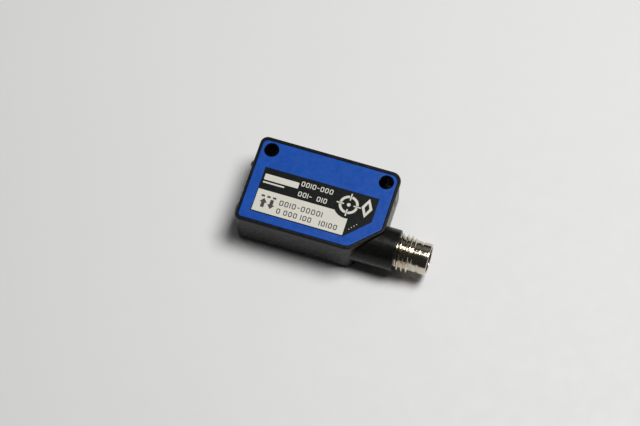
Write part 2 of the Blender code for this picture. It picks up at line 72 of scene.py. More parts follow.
# Sizes of the moulding, in millimetres. A rounded edge is (inward, along the wall).
FIT = 0.05
WALL = 1.2
RIM = 0.55
FRONT_RIM = 0.85
RIM_OUT = 0.12
WALLS_BACK = 0.14
CHAMFER = 6.1
LABEL_EDGE = (0.26, 0.80)
MOUNTING_EDGE = (1.0, 1.8)
PARTING_Z = (9.68, 10.10)
PARTING_DEPTH = 0.20
PARTING_SLOPE = 0.05
BACK_CORNER_R = 1.3
NEAR_CORNER_R = 2.5
CHAMFER_CORNER_R = 1.7
CONNECTOR_CORNER_R = 2.1
BUTTON_CORNER_R = 1.7
HOLE_D = 3.1
HOLE_SPACING = 25.4
COVER_HOLE_D = 3.2
BOSS_R = 2.35
SLOT_HALF = 0.25
SLOT_Z = (4.6, 8.4)
SLOT_FROM_EDGE = 15.0

# The front window
WINDOW_CORNER_R = 0.8
WINDOW_LIP = 0.12
WINDOW_LEDGE = 0.75
PANE_EDGE = 0.15

# The cover and its label
COVER_EDGE = 0.13
LABEL_CUT = 4.9
POCKET_DEPTH = 0.12
PRINT_T = 0.004
MARK_CLEAR_R = 3.2

# The connector
COLLAR_R = 4.5
COLLAR_BORE_R = 3.55
COLLAR_REACH = 6.9
CUP_R = 2.85
THREAD_R = 4.0
THREAD_ROOT_R = 3.45
THREAD_PITCH = 1.0
THREAD_LENGTH = 3.7
THREAD_ROWS = 58
NOSE_R = 3.45
NOSE_GROOVE_FROM_THREAD = 1.1
NOSE_GROOVE = (
    (-0.04, 0.0),
    (0.0, 0.05),
    (0.06, 0.18),
    (0.12, 0.2),
    (0.33, 0.2),
    (0.39, 0.18),
    (0.45, 0.05),
    (0.49, 0.0),
)
SEAL_GROOVE_X = (12.4, 13.3)
SEAL_GROOVE_DEPTH = 0.7
PIN_R = 0.5
PIN_TIP = 0.32

# The button and the light guides
BUTTON_R = 1.8
BUTTON_CROWN = 0.45
FLANGE_R = 2.2
FLANGE_T = 0.5
GUIDE_R = 1.0
GUIDE_HALF = 0.7
GUIDE_FROM_EDGE = 14.2
GUIDE_Z = {"yellow": 3.3, "green": 7.7}
GUIDE_ARM_Y = (-1.35, 0.35)
GUIDE_ARM_Z = (2.95, 4.0)
GUIDE_FOOT = 1.4
GUIDE_SHOULDER = 0.15
GUIDE_INSIDE = 0.15

# The camera looks at a point on the object from the end of a boom, in millimetres and degrees.
CAMERA_AIM = (0.745, -8.601, 5.5)
CAMERA_BOOM = 529.74
CAMERA_AZIMUTH = 18.065
CAMERA_ELEVATION = 65.915
CAMERA_ROLL = -0.636

# Places, from the frame
housing_low, housing_high = box_mm("housing")
cover_low, cover_high = box_mm("side_cover")
label_low, label_high = box_mm("type_label")
window_low, window_high = box_mm("front_window")
sleeve_low, sleeve_high = box_mm("connector_sleeve")
carrier_low, carrier_high = box_mm("contact_carrier")
button_low, button_high = box_mm("teach_button")
X_LOW, Y_LOW, Y_HIGH = housing_low.x, housing_low.y, housing_high.y
X_HIGH = cover_high.x + RIM + FIT
TOP = housing_high.z
COLLAR_END = housing_high.x
COVER_Z = cover_low.z
LEDGE_Z = COVER_Z - FIT
HOLE_X = HOLE_SPACING / 2
PLUG = centre_mm("connector_sleeve")
BUTTON = centre_mm("teach_button")


# Mesh helpers


def outline(corners, inset=0.0, steps=14):
    """Points round a convex outline, anticlockwise.

    A corner is (x, y, radius), and a quarter turn takes this many steps.
    """
    points = []
    for i, (x, y, radius) in enumerate(corners):
        here = Vector((x, y))
        along = (here - Vector(corners[i - 1][:2])).normalized()
        onward = (Vector(corners[(i + 1) % len(corners)][:2]) - here).normalized()
        inward = Vector((-along.y, along.x)), Vector((-onward.y, onward.x))
        reach = max(radius, inset + 0.05)
        centre = here + (inward[0] + inward[1]) * reach / (1 + inward[0].dot(inward[1]))
        start = math.atan2(-inward[0].y, -inward[0].x)
        sweep = (math.atan2(-inward[1].y, -inward[1].x) - start) % (2 * math.pi)
        count = max(1, round(steps * sweep / (math.pi / 2)))
        for k in range(count + 1):
            angle = start + sweep * k / count
            points.append(centre + (reach - inset) * Vector((math.cos(angle), math.sin(angle))))
    return points


def loft(rings):
    """One solid through a stack of rings of points, all with as many points."""
    bm = bmesh.new()
    made = [[bm.verts.new(point) for point in ring] for ring in rings]
    for low, high in zip(made, made[1:]):
        for i in range(len(low)):
            j = (i + 1) % len(low)
            bm.faces.new((low[i], low[j], high[j], high[i]))
    bm.faces.new(made[0])
    bm.faces.new(made[-1])
    return bm


def outline_rings(corners, rings, steps=14):
    """Rings of points, where a ring is (height, inset) and the outline shrinks by the inset."""
    return [[(p.x, p.y, z) for p in outline(corners, inset, steps)] for z, inset in rings]


def lofted_outline(corners, rings, steps=14):
    """A solid whose outline shrinks by an inset at each height."""
    return loft(outline_rings(corners, rings, steps))


def prism(points, low, high):
    """A solid of one outline between two heights."""
    return loft([[(p[0], p[1], z) for p in points] for z in (low, high)])


def along_y(levels):
    """A solid along Y. A level is (y, points), where the points are in X and Z."""
    return loft([[(p[0], y, p[1]) for p in points] for y, points in levels])


def turned(profile, segments=64, closed=False):
    """A solid turned about Z. A point is (radius, height), and radius may be a function of the angle."""
    bm = bmesh.new()
    rings = []
    for radius, height in profile:
        if radius == 0:
            rings.append([bm.verts.new((0.0, 0.0, height))])
            continue
        ring = []
        for i in range(segments):
            angle = 2 * math.pi * i / segments
            r = radius(angle) if callable(radius) else radius
            ring.append(bm.verts.new((r * math.cos(angle), r * math.sin(angle), height)))
        rings.append(ring)
    pairs = list(zip(rings, rings[1:])) + ([(rings[-1], rings[0])] if closed else [])
    for low, high in pairs:
        for i in range(segments):
            j = (i + 1) % segments
            corners = [low[i % len(low)], low[j % len(low)], high[j % len(high)], high[i % len(high)]]
            bm.faces.new(list(dict.fromkeys(corners)))
    return bm


def arc(centre, radius, start, end, steps=6):
    """Points (radius, height) on an arc of a profile, angles in degrees."""
    return [
        (
            centre[0] + radius * math.cos(math.radians(start + (end - start) * k / steps)),
            centre[1] + radius * math.sin(math.radians(start + (end - start) * k / steps)),
        )
        for k in range(steps + 1)
    ]


def flared(radius, low, high, lip, segments=64):
    """A drill for a hole whose edge is rounded by lip where it meets the surface at height low."""
    curve = arc((radius + lip, low + lip), lip, 270, 180)
    wide = [(0, low - 1), (radius + lip, low - 1)]
    return turned([*wide, *curve, (radius, high), (0, high)], segments)


def to_object(name, bm, matrix=Matrix.Identity(4)):
    """Makes an object in the frame from a mesh in millimetres."""
    bmesh.ops.recalc_face_normals(bm, faces=bm.faces)
    bm.transform(Matrix.Scale(MM, 4) @ matrix)
    mesh = bpy.data.meshes.new(name)
    bm.to_mesh(mesh)
    bm.free()
    made = bpy.data.objects.new(name, mesh)
    bpy.context.scene.collection.objects.link(made)
    return made


def carve(target, steps):
    """Applies Booleans to the target. A step is (operation, bmesh, matrix)."""
    helpers = []
    for operation, bm, matrix in steps:
        helper = to_object("helper", bm, matrix)
        helpers.append(helper)
        modifier = target.modifiers.new(operation, "BOOLEAN")
        modifier.operation = operation
        modifier.object = helper
        modifier.solver = "EXACT"
    bpy.context.view_layer.update()
    depsgraph = bpy.context.evaluated_depsgraph_get()
    mesh = bpy.data.meshes.new_from_object(target.evaluated_get(depsgraph))
    target.modifiers.clear()
    target.data = mesh
    for helper in helpers:
        bpy.data.objects.remove(helper, do_unlink=True)


def shade(target):
    """Smooth faces with sharp edges, and normals that keep large faces flat."""
    target.data.shade_smooth()
    target.data.set_sharp_from_angle(angle=SMOOTH_ANGLE)
    modifier = target.modifiers.new("flat faces", "WEIGHTED_NORMAL")
    modifier.keep_sharp = True
    modifier.weight = 50


def place(name, bm, material, body="sensor", matrix=Matrix.Identity(4), replaces=(), steps=()):
    """Makes a finished piece that rides a body and stands for CAD nodes."""
    piece = to_object(name, bm, matrix)
    if steps:
        carve(piece, steps)
    piece.data.materials.clear()
    piece.data.materials.append(material)
    shade(piece)
    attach(piece, body)
    if replaces:
        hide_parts(*replaces)


def at(x, y, z, turn=Matrix.Identity(4)):
    """A turn followed by a move, in millimetres."""
    return Matrix.Translation((x, y, z)) @ turn


# Materials


class Nodes:
    """A short way to write a material's nodes."""

    def __init__(self, name):
        self.material = bpy.data.materials.new(name)
        self.material.use_nodes = True
        self.tree = self.material.node_tree
        self.shader = self.tree.nodes["Principled BSDF"]
        self.place = self.add("ShaderNodeTexCoord").outputs["Object"]

    def add(self, kind, inputs=None, **settings):
        """A new node with these properties and inputs."""
        node = self.tree.nodes.new(kind)
        for key, value in settings.items():
            setattr(node, key, value)
        for key, value in (inputs or {}).items():
            self.give(node.inputs[key], value)
        return node

    def give(self, socket, value):
        """Links an output to a socket, or sets the socket's value."""
        if isinstance(value, bpy.types.NodeSocket):
            self.tree.links.new(value, socket)
        else:
            socket.default_value = value

    def set(self, name, value):
        """Sets one of the shader's own sockets."""
        self.give(self.shader.inputs[name], value)

    def noise(self, size, detail=3.0, stretch=(1.0, 1.0, 1.0)):
        """Noise with features of this size, in millimetres."""
        scale = tuple(1 / (size * MM * s) for s in stretch)
        mapping = self.add("ShaderNodeMapping", {"Vector": self.place, "Scale": scale})
        settings = {"Vector": mapping.outputs[0], "Scale": 1.0, "Detail": detail, "Roughness": 0.5}
        return self.add("ShaderNodeTexNoise", settings).outputs["Fac"]

    def ramp(self, value, low, high, out_low=0.0, out_high=1.0):
        """The value, taken from one range to another."""
        settings = {"Value": value, "From Min": low, "From Max": high, "To Min": out_low, "To Max": out_high}
        return self.add("ShaderNodeMapRange", settings, clamp=True).outputs[0]

    def compute(self, operation, a, b=0.0):
        """The result of a maths operation on one or two values."""
        node = self.add("ShaderNodeMath", operation=operation)
        self.give(node.inputs[0], a)
        self.give(node.inputs[1], b)
        return node.outputs[0]

    def mix(self, factor, a, b):
        """A colour between two, each a colour or an output."""
        node = self.add("ShaderNodeMix", data_type="RGBA")
        self.give(node.inputs["Factor"], factor)
        self.give(node.inputs["A"], (*a, 1.0) if isinstance(a, tuple) else a)
        self.give(node.inputs["B"], (*b, 1.0) if isinstance(b, tuple) else b)
        return node.outputs["Result"]

    def bump(self, height, distance, normal=None):
        """A normal for relief of this height, in millimetres."""
        settings = {"Height": height, "Distance": distance * MM, "Strength": 1.0}
        if normal is not None:
            settings["Normal"] = normal
        return self.add("ShaderNodeBump", settings).outputs["Normal"]


def scaled(colour, factor):
    """A darker or lighter shade of a colour."""
    return tuple(min(1.0, c * factor) for c in colour)


def plastic(
    name,
    colour,
    roughness,
    grain=0.006,
    grain_size=0.16,
    mottle=0.12,
    mottle_size=3.0,
    spread=0.07,
    dust=0.0,
    **sockets,
):
    """A moulded or painted surface: a fine grain, slow changes of colour and gloss, and a little dust."""
    n = Nodes(name)
    cloud = n.noise(mottle_size, 4.0)
    base = n.mix(n.ramp(cloud, 0.3, 0.7), scaled(colour, 1 - mottle), scaled(colour, 1 + mottle))
    if dust:
        specks = n.ramp(n.noise(0.35, 2.0), 0.71, 0.76)
        base = n.mix(n.compute("MULTIPLY", specks, dust), base, (0.30, 0.29, 0.27))
    n.set("Base Color", base)
    gloss = n.noise(mottle_size * 0.4, 5.0)
    n.set("Roughness", n.ramp(gloss, 0.3, 0.7, roughness - spread, roughness + spread))
    fine = n.noise(grain_size, 2.0)
    wide = n.bump(n.noise(mottle_size, 2.0), grain * 1.5)
    n.set("Normal", n.bump(fine, grain, wide))
    for key, value in sockets.items():
        n.set(key.replace("_", " "), value)
    return n.material


def metal(name, colour, roughness, lines=0.004, axis=0, tarnish=(0.45, 0.36, 0.24), spread=(0.05, 0.09)):
    """Turned and plated metal: fine tool lines round its axis, and a slight tarnish."""
    n = Nodes(name)
    stretch = [14.0, 14.0, 14.0]
    stretch[axis] = 1.0
    tooling = n.noise(0.05, 2.0, tuple(stretch))
    stain = n.ramp(n.noise(1.6, 5.0), 0.50, 0.72)
    n.set("Base Color", n.mix(n.compute("MULTIPLY", stain, 0.5), colour, tarnish))
    wear = n.noise(0.8, 4.0)
    n.set("Roughness", n.ramp(wear, 0.3, 0.7, roughness - spread[0], roughness + spread[1]))
    n.set("Metallic", 1.0)
    soft = n.bump(n.noise(0.9, 3.0), lines * 0.5)
    n.set("Normal", n.bump(tooling, lines, soft))
    return n.material


def clear(name, colour, roughness=0.03, ior=1.49, transmission=1.0):
    """Clear or tinted plastic or glass, with a faint unevenness."""
    n = Nodes(name)
    cloud = n.noise(2.5, 3.0)
    n.set("Base Color", n.mix(cloud, scaled(colour, 0.9), scaled(colour, 1.08)))
    n.set("Roughness", n.ramp(n.noise(0.9, 4.0), 0.35, 0.75, roughness, roughness + 0.05))
    n.set("Normal", n.bump(n.noise(1.4, 2.0), 0.002))
    n.set("IOR", ior)
    n.set("Transmission Weight", transmission)
    return n.material


def end_caps(name, colour, roughness):
    """A two-ended chip part: a fired body between tinned ends."""
    n = Nodes(name)
    spot = n.add("ShaderNodeTexCoord").outputs["Generated"]
    across = n.add("ShaderNodeSeparateXYZ", {"Vector": spot}).outputs["X"]
    from_middle = n.compute("ABSOLUTE", n.compute("SUBTRACT", across, 0.5))
    cap = n.compute("GREATER_THAN", from_middle, 0.31)
    grit = n.noise(0.12, 3.0)
    body = n.mix(grit, scaled(colour, 0.8), scaled(colour, 1.2))
    n.set("Base Color", n.mix(cap, body, (0.62, 0.62, 0.60)))
    n.set("Metallic", cap)
    n.set("Roughness", n.ramp(grit, 0.3, 0.7, roughness - 0.1, roughness + 0.1))
    n.set("Normal", n.bump(grit, 0.006))
    return n.material


def solder_mask(name):
    """Green lacquer over copper tracks, with gold-plated vias."""
    n = Nodes(name)
    brick = {"Vector": n.place, "Scale": 1 / (2.6 * MM), "Mortar Size": 0.035}
    brick |= {"Color1": (0, 0, 0, 1), "Color2": (0, 0, 0, 1), "Mortar": (1, 1, 1, 1)}
    tracks = n.add("ShaderNodeTexBrick", brick).outputs["Color"]
    copper = n.mix(tracks, (0.010, 0.105, 0.040), (0.030, 0.200, 0.080))
    dots = n.add("ShaderNodeTexVoronoi", {"Vector": n.place, "Scale": 1 / (1.9 * MM)}).outputs["Distance"]
    via = n.compute("LESS_THAN", dots, 0.11)
    n.set("Base Color", n.mix(via, copper, (0.85, 0.62, 0.25)))
    n.set("Metallic", via)
    n.set("Roughness", n.ramp(n.noise(0.6), 0.3, 0.7, 0.28, 0.42))
    n.set("Normal", n.bump(tracks, 0.02))
    return n.material


BLACK_ABS = plastic(
    "black_abs",
    (0.0062, 0.0062, 0.0054),
    0.30,
    grain=0.004,
    grain_size=0.20,
    dust=0.25,
    Specular_IOR_Level=0.19,
)
BLUE_ABS = plastic(
    "blue_abs",
    (0.010, 0.076, 0.395),
    0.28,
    grain=0.006,
    grain_size=0.24,
    mottle=0.06,
    dust=0.12,
    Specular_IOR_Level=0.2,
)
PRINT_BLACK = plastic(
    "print_black",
    (0.0075, 0.0090, 0.0085),
    0.24,
    grain=0.004,
    grain_size=0.30,
    mottle=0.06,
    spread=0.02,
    dust=0.04,
    Specular_IOR_Level=0.24,
)
PRINT_WHITE = plastic("print_white", (0.66, 0.64, 0.57), 0.45, grain=0.003, grain_size=0.30, mottle=0.03)
PRINT_INK = plastic(
    "print_ink",
    (0.022, 0.022, 0.022),
    0.50,
    grain=0.003,
    grain_size=0.10,
    mottle=0.3,
    mottle_size=0.5,
)
BUTTON_BLACK = plastic("button_black", (0.018, 0.018, 0.018), 0.52, grain=0.006, grain_size=0.10)
RUBBER = plastic("rubber", (0.016, 0.016, 0.016), 0.78, grain=0.01, grain_size=0.08)
CHIP_EPOXY = plastic("chip_epoxy", (0.022, 0.022, 0.023), 0.62, grain=0.012, grain_size=0.07)
TANTALUM = plastic("tantalum", (0.62, 0.36, 0.05), 0.46, grain=0.006, grain_size=0.1)
NICKEL = metal("nickel", (0.70, 0.65, 0.55), 0.12, lines=0.0025, spread=(0.03, 0.05))
GOLD = metal("gold", (0.92, 0.68, 0.30), 0.22, tarnish=(0.70, 0.45, 0.18))
STEEL = metal("switch_steel", (0.60, 0.60, 0.60), 0.34, lines=0.003, axis=1, tarnish=(0.42, 0.40, 0.37))
WINDOW = clear("window_acrylic", (0.42, 0.020, 0.022), 0.01)
LENS = clear("lens_acrylic", (0.95, 0.97, 0.98), 0.01)
SPLITTER = clear("splitter_glass", (0.80, 0.84, 0.88), 0.01, 1.52, 0.6)
POLARISER = clear("polarising_film", (0.22, 0.24, 0.25), 0.08, 1.5, 0.7)
GUIDE = clear("light_guide", (0.030, 0.030, 0.027), 0.08, 1.49, 0.5)
LED_CLEAR = clear("led_resin", (0.85, 0.80, 0.62), 0.12, 1.5, 0.5)
BOARD = solder_mask("circuit_board")
CAPACITOR = end_caps("capacitor_ceramic", (0.42, 0.28, 0.17), 0.5)
RESISTOR = end_caps("resistor_ceramic", (0.03, 0.03, 0.035), 0.4)


# Housing


def housing_corners(back=0.0, front=0.0, sharper=0.0):
    """The housing's outline, drawn in by front on the window's side and by back on the others.

    The corner radii are smaller by sharper.
    """
    slant = back * CHAMFER_SLIDE
    corners = [
        (X_LOW + back, Y_LOW + back, BACK_CORNER_R),
        (X_HIGH - CHAMFER - slant, Y_LOW + back, NEAR_CORNER_R),
        (X_HIGH - back, Y_LOW + CHAMFER + slant, CHAMFER_CORNER_R),
        (X_HIGH - back, Y_HIGH - front, CONNECTOR_CORNER_R),
        (X_LOW + back, Y_HIGH - front, BUTTON_CORNER_R),
    ]
    return [(x, y, radius - sharper) for x, y, radius in corners]


def rebate_corners():
    """The outline of the step that the cover lies in."""
    return housing_corners(RIM, FRONT_RIM, RIM)


def edge_rings(height, way, rounding, steps):
    """Rings (height, inset) for a rounded edge that starts at a height and goes up or down."""
    inward, along = rounding
    angles = [k * math.pi / 2 / steps for k in range(steps + 1)]
    return [(height + way * along * (1 - math.cos(a)), inward * (1 - math.sin(a))) for a in angles]


def window_outline(grow):
    """The window's opening in the front wall, in X and Z."""
    half = (window_high.x - window_low.x) / 2 + FIT
    z0, z1 = window_low.z - FIT, window_high.z + FIT
    corners = [(x, z, WINDOW_CORNER_R) for x, z in ((-half, z0), (half, z0), (half, z1), (-half, z1))]
    return outline(corners, -grow, 8)


def housing_steps():
    """The Booleans that turn the block into the tub, in order."""
    above = TOP + 1
    cut, add = "DIFFERENCE", "UNION"
    steps = [(cut, prism(outline(housing_corners(), WALL), WALL, above), at(0, 0, 0))]

    floor = window_low.y - FIT
    mouth = [
        (floor, window_outline(0.0)),
        (Y_HIGH - WINDOW_LIP, window_outline(0.0)),
        (Y_HIGH - WINDOW_LIP * 0.3, window_outline(WINDOW_LIP * 0.3)),
        (Y_HIGH + 0.02, window_outline(WINDOW_LIP)),
        (Y_HIGH + 1, window_outline(WINDOW_LIP)),
    ]
    steps.append((cut, along_y(mouth), at(0, 0, 0)))
    opening = [(y, window_outline(-WINDOW_LEDGE)) for y in (Y_HIGH - WALL - 0.3, floor + 0.5)]
    steps.append((cut, along_y(opening), at(0, 0, 0)))

    hole = flared(BUTTON_R + FIT, 0.0, WALL + 1, 0.18)
    steps.append((cut, hole, at(X_LOW + WALLS_BACK, BUTTON.y, BUTTON.z, ALONG_X)))
    for z in GUIDE_Z.values():
        hole = flared(GUIDE_R + FIT, 0.0, WALL + 1, 0.10, segments=48)
        steps.append((cut, hole, at(X_LOW + WALLS_BACK, Y_LOW + GUIDE_FROM_EDGE, z, ALONG_X)))
    y0, y1 = Y_LOW + SLOT_FROM_EDGE - SLOT_HALF, Y_LOW + SLOT_FROM_EDGE + SLOT_HALF
    low, high = SLOT_Z
    slot_corners = [(-high, y0, 0.2), (-low, y0, 0.2), (-low, y1, 0.2), (-high, y1, 0.2)]
    slot = lofted_outline(slot_corners, [(-0.4, 0.04), (-0.1, 0.0), (0.0, -0.06), (1.0, -0.06)], 5)
    steps.append((cut, slot, at(X_HIGH - WALLS_BACK, 0, 0, ALONG_X)))

    boss_low, boss_high = WALL / 2, LEDGE_Z + 0.3
    for side in (-1, 1):
        boss = turned([(0, boss_low), (BOSS_R, boss_low), (BOSS_R, boss_high), (0, boss_high)])
        steps.append((add, boss, at(side * HOLE_X, 0, 0)))
    rebate = [(LEDGE_Z, 0.0), (TOP - 0.06, 0.0), (TOP, -0.06), (above, -0.06)]
    steps.append((cut, lofted_outline(rebate_corners(), rebate), at(0, 0, 0)))
    for side in (-1, 1):
        bore = flared(HOLE_D / 2, 0.0, above, 0.25)
        steps.append((cut, bore, at(side * HOLE_X, 0, 0)))

    start, edge, lip = X_HIGH - COLLAR_REACH, 0.35, 0.1
    collar = [
        (0, start),
        (COLLAR_R, start),
        *arc((COLLAR_R - edge, COLLAR_END - edge), edge, 0, 90),
        (0, COLLAR_END),
    ]
    steps.append((add, turned(collar, 96), at(0, PLUG.y, PLUG.z, ALONG_X)))
    bore = [
        (0, start - 1),
        (COLLAR_BORE_R, start - 1),
        *arc((COLLAR_BORE_R + lip, COLLAR_END - lip), lip, 180, 90, 4),
        (COLLAR_BORE_R + lip, COLLAR_END + 1),
        (0, COLLAR_END + 1),
    ]
    steps.append((cut, turned(bore, 96), at(0, PLUG.y, PLUG.z, ALONG_X)))
    return steps


def make_housing():
    """The tub and its collar. The walls stand back a little under the rim, below a parting groove."""
    low, high = PARTING_Z
    walls = edge_rings(0.0, 1, MOUNTING_EDGE, 10) + [(low, 0.0), (low + PARTING_SLOPE, PARTING_DEPTH)]
    rim = [(high - PARTING_SLOPE, PARTING_DEPTH), (high, 0.0)] + edge_rings(TOP, -1, LABEL_EDGE, 7)[::-1]
    rings = outline_rings(housing_corners(WALLS_BACK), walls) + outline_rings(housing_corners(-RIM_OUT), rim)
    block, steps = loft(rings), housing_steps()
    place("housing_shell", block, BLACK_ABS, replaces=("housing",), steps=steps)


# Cover and label


def label_points(grow):
    """The label's outline, grown on every side."""
    (x0, y0), (x1, y1) = label_low.xy, label_high.xy
    slant = grow * CHAMFER_SLIDE
    return [
        (x0 - grow, y0 - grow),
        (x1 - LABEL_CUT + slant, y0 - grow),
        (x1 + grow, y0 + LABEL_CUT - slant),
        (x1 + grow, y1 + grow),
        (x0 - grow, y1 + grow),
    ]


def make_cover():
    """The blue plate, with its two screw holes and a pocket for the label."""
    edge = edge_rings(TOP, -1, (COVER_EDGE, COVER_EDGE), 4)[::-1]
    rings = [(COVER_Z, FIT)] + [(z, FIT + inset) for z, inset in edge]
    steps = []
    for side in (-1, 1):
        hole = flared(COVER_HOLE_D / 2, 0.0, 2.0, 0.12)
        steps.append(("DIFFERENCE", hole, at(side * HOLE_X, 0, TOP, UPSIDE_DOWN)))
    pocket = prism(label_points(FIT), TOP - POCKET_DEPTH, TOP + 1)
    steps.append(("DIFFERENCE", pocket, at(0, 0, 0)))
    block = lofted_outline(rebate_corners(), rings)
    place("cover_plate", block, BLUE_ABS, replaces=("side_cover",), steps=steps)


def sheet_of(shapes, low, high):
    """Flat printed shapes as one mesh of thin slabs: each a list of (x, y), or an outer and an inner list."""
    bm = bmesh.new()
    for shape in shapes:
        if isinstance(shape, tuple):
            outer, inner = shape
            levels = [(outer, low), (outer, high), (inner, high), (inner, low)]
        else:
            levels = [(shape, low), (shape, high)]
        rings = [[bm.verts.new((x, y, z)) for x, y in points] for points, z in levels]
        if isinstance(shape, tuple):
            pairs = zip(rings, rings[1:] + rings[:1])
        else:
            pairs = [rings]
            bm.faces.new(rings[1])
            bm.faces.new(rings[0][::-1])
        for near, far in pairs:
            for i in range(len(near)):
                j = (i + 1) % len(near)
                bm.faces.new((near[i], near[j], far[j], far[i]))
    return bm


def bar(x0, y0, x1, y1, r=0.08):
    """A printed bar with rounded corners."""
    return [tuple(p) for p in outline([(x0, y0, r), (x1, y0, r), (x1, y1, r), (x0, y1, r)], 0.0, 4)]


def frame_of(points, centre, share):
    """A printed outline: the points, and the same points drawn in towards the centre."""
    (cx, cy), (share_x, share_y) = centre, share
    inner = [(cx + (x - cx) * share_x, cy + (y - cy) * share_y) for x, y in points]
    return list(points), inner


def signs(x, y, row, height, width, gap, stroke):
    """A row of printed signs in place of text: O is an open box, I a stroke, - a dash and a space a gap."""
    shapes = []
    for sign in row:
        if sign == "O":
            box = bar(x, y, x + width, y + height, min(width, height) * 0.35)
            share = (1 - 2 * stroke / width, 1 - 2 * stroke / height)
            shapes.append(frame_of(box, (x + width / 2, y + height / 2), share))
            x += width + gap
        elif sign == "I":
            shapes.append(bar(x, y, x + stroke, y + height, stroke * 0.3))
            x += stroke + gap
        elif sign == "-":
            dash, middle = width * 0.7, y + height * 0.42
            shapes.append(bar(x, middle, x + dash, middle + stroke, stroke * 0.3))
            x += dash + gap
        else:
            x += width * 0.6
    return shapes


def ring_segments(x, y, radius, width, spans):
    """Pieces of a printed ring round (x, y), each from one angle to another, in degrees."""
    shapes = []
    for start, end in spans:
        steps = max(6, int((end - start) / 6))
        angles = [math.radians(start + (end - start) * k / steps) for k in range(steps + 1)]
        outer = [(x + radius * math.cos(a), y + radius * math.sin(a)) for a in angles]
        inside = radius - width
        inner = [(x + inside * math.cos(a), y + inside * math.sin(a)) for a in angles]
        shapes.append(outer + inner[::-1])
    return shapes


def arrow(x, y, length, way):
    """A block arrow along Y from (x, y)."""
    head, half, barb = 1.0, 0.375, 0.8
    tip, neck = y + way * length, y + way * (length - head)
    shaft = [(x - half, y), (x + half, y), (x + half, neck)]
    return [*shaft, (x + barb, neck), (x, tip), (x - barb, neck), (x - half, neck)]


def diamond(x, y, half, tall=1.0):
    """A printed diamond round (x, y), taller than it is wide by this factor."""
    return [(x + half, y), (x, y + half * tall), (x - half, y), (x, y - half * tall)]


def make_label():
    """The film and its print. Places on it are in millimetres from its corner (x0, y0)."""
    top = label_high.z
    film = prism(label_points(0.0), label_low.z, top)
    place("label_film", film, PRINT_BLACK, replaces=("type_label",))

    x0, y0 = label_low.x, label_low.y
    white_end, white_top = x0 + 20.05, y0 + 5.3
    white_start, white_low = x0 + 0.12, y0 + 0.2
    cx, cy = x0 + 19.35, y0 + 7.25
    drop, clear_r = white_top - cy, MARK_CLEAR_R
    first = math.atan2(drop, -math.sqrt(clear_r**2 - drop**2))
    last = -math.acos((white_end - cx) / clear_r)
    turn = [first + ((last - first) % (2 * math.pi)) * k / 12 for k in range(13)]
    bite = [(cx + clear_r * math.cos(a), cy + clear_r * math.sin(a)) for a in turn]
    field = [(white_start, white_low), (white_end, white_low), *bite[::-1], (white_start, white_top)]
    place("label_white_field", sheet_of([field], top, top + PRINT_T), PRINT_WHITE)

    light = [
        bar(x0 + 0.5, y0 + 7.6, x0 + 8.0, y0 + 9.0, 0.2),
        bar(x0 + 0.5, y0 + 6.85, x0 + 5.2, y0 + 7.2, 0.12),
        *signs(x0 + 8.45, y0 + 8.4, "OOIO-OOO", 1.15, 0.76, 0.24, 0.18),
        *signs(x0 + 8.45, y0 + 6.0, "OOI-  OIO", 1.15, 0.76, 0.24, 0.18),
    ]
    light += ring_segments(cx, cy, 2.1, 0.55, ((8, 82), (98, 172), (188, 262), (278, 352)))
    dot, tick = 0.4, 0.14
    light += [bar(cx - dot, cy - dot, cx + dot, cy + dot, dot - 0.01)]
    for side in (-1, 1):
        low, high = sorted((side * 1.05, side * 2.65))
        light.append(bar(cx + low, cy - tick, cx + high, cy + tick, 0.05))
        light.append(bar(cx - tick, cy + low, cx + tick, cy + high, 0.05))
    spot = (x0 + 23.25, y0 + 7.6)
    light.append(frame_of(diamond(*spot, 1.2, 1.9), spot, (0.45, 0.52)))
    light += [diamond(x0 + 21.0 + 0.42 * k, y0 + 1.95 + 0.49 * k, 0.13) for k in range(4)]
    place("label_light_print", sheet_of(light, top, top + PRINT_T * 1.25), PRINT_WHITE)

    above = top + PRINT_T
    dark = [
        arrow(x0 + 2.0, y0 + 1.35, 2.15, 1),
        arrow(x0 + 3.75, y0 + 3.5, 2.15, -1),
        *[bar(x0 + 1.2 + 1.25 * k, y0 + 3.75, x0 + 1.95 + 1.25 * k, y0 + 4.2, 0.12) for k in range(3)],
        *signs(x0 + 5.35, y0 + 2.75, "OOIO-OOOOI", 1.25, 0.82, 0.30, 0.2),
        *signs(x0 + 5.25, y0 + 0.85, "O OOO IOO   IOIOO", 1.2, 0.80, 0.28, 0.2),
    ]
    place("label_dark_print", sheet_of(dark, above, above + PRINT_T), PRINT_INK)


# Front window


def make_window():
    """The tinted pane, with a rounded edge."""
    levels = [(window_low.y, window_outline(-FIT))]
    for y, inset in edge_rings(window_high.y, -1, (PANE_EDGE, PANE_EDGE), 4)[::-1]:
        levels.append((y, window_outline(-FIT - inset)))
    place("window_pane", along_y(levels), WINDOW, replaces=("front_window",))


# Button and light guides


def make_button():
    """The cap, with a flange inside the wall and a crowned face."""
    x0, x1 = button_low.x, button_high.x
    skirt, edge = x1 - FLANGE_T, 0.05
    profile = [
        (0, x1),
        (FLANGE_R - edge, x1),
        (FLANGE_R, x1 - edge),
        (FLANGE_R, skirt + edge),
        (FLANGE_R - edge, skirt),
        (BUTTON_R, skirt),
        (BUTTON_R, x0 + BUTTON_CROWN),
    ]
    for k in range(1, 15):
        a = k / 14 * math.pi / 2
        r, x = BUTTON_R * math.cos(a) ** 0.62, x0 + BUTTON_CROWN - BUTTON_CROWN * math.sin(a)
        profile.append((r if k < 14 else 0, x))
    matrix = at(0, BUTTON.y, BUTTON.z, ALONG_X)
    cap = turned(profile, 72)
    place("button_cap", cap, BUTTON_BLACK, "button", matrix, ("teach_button",))


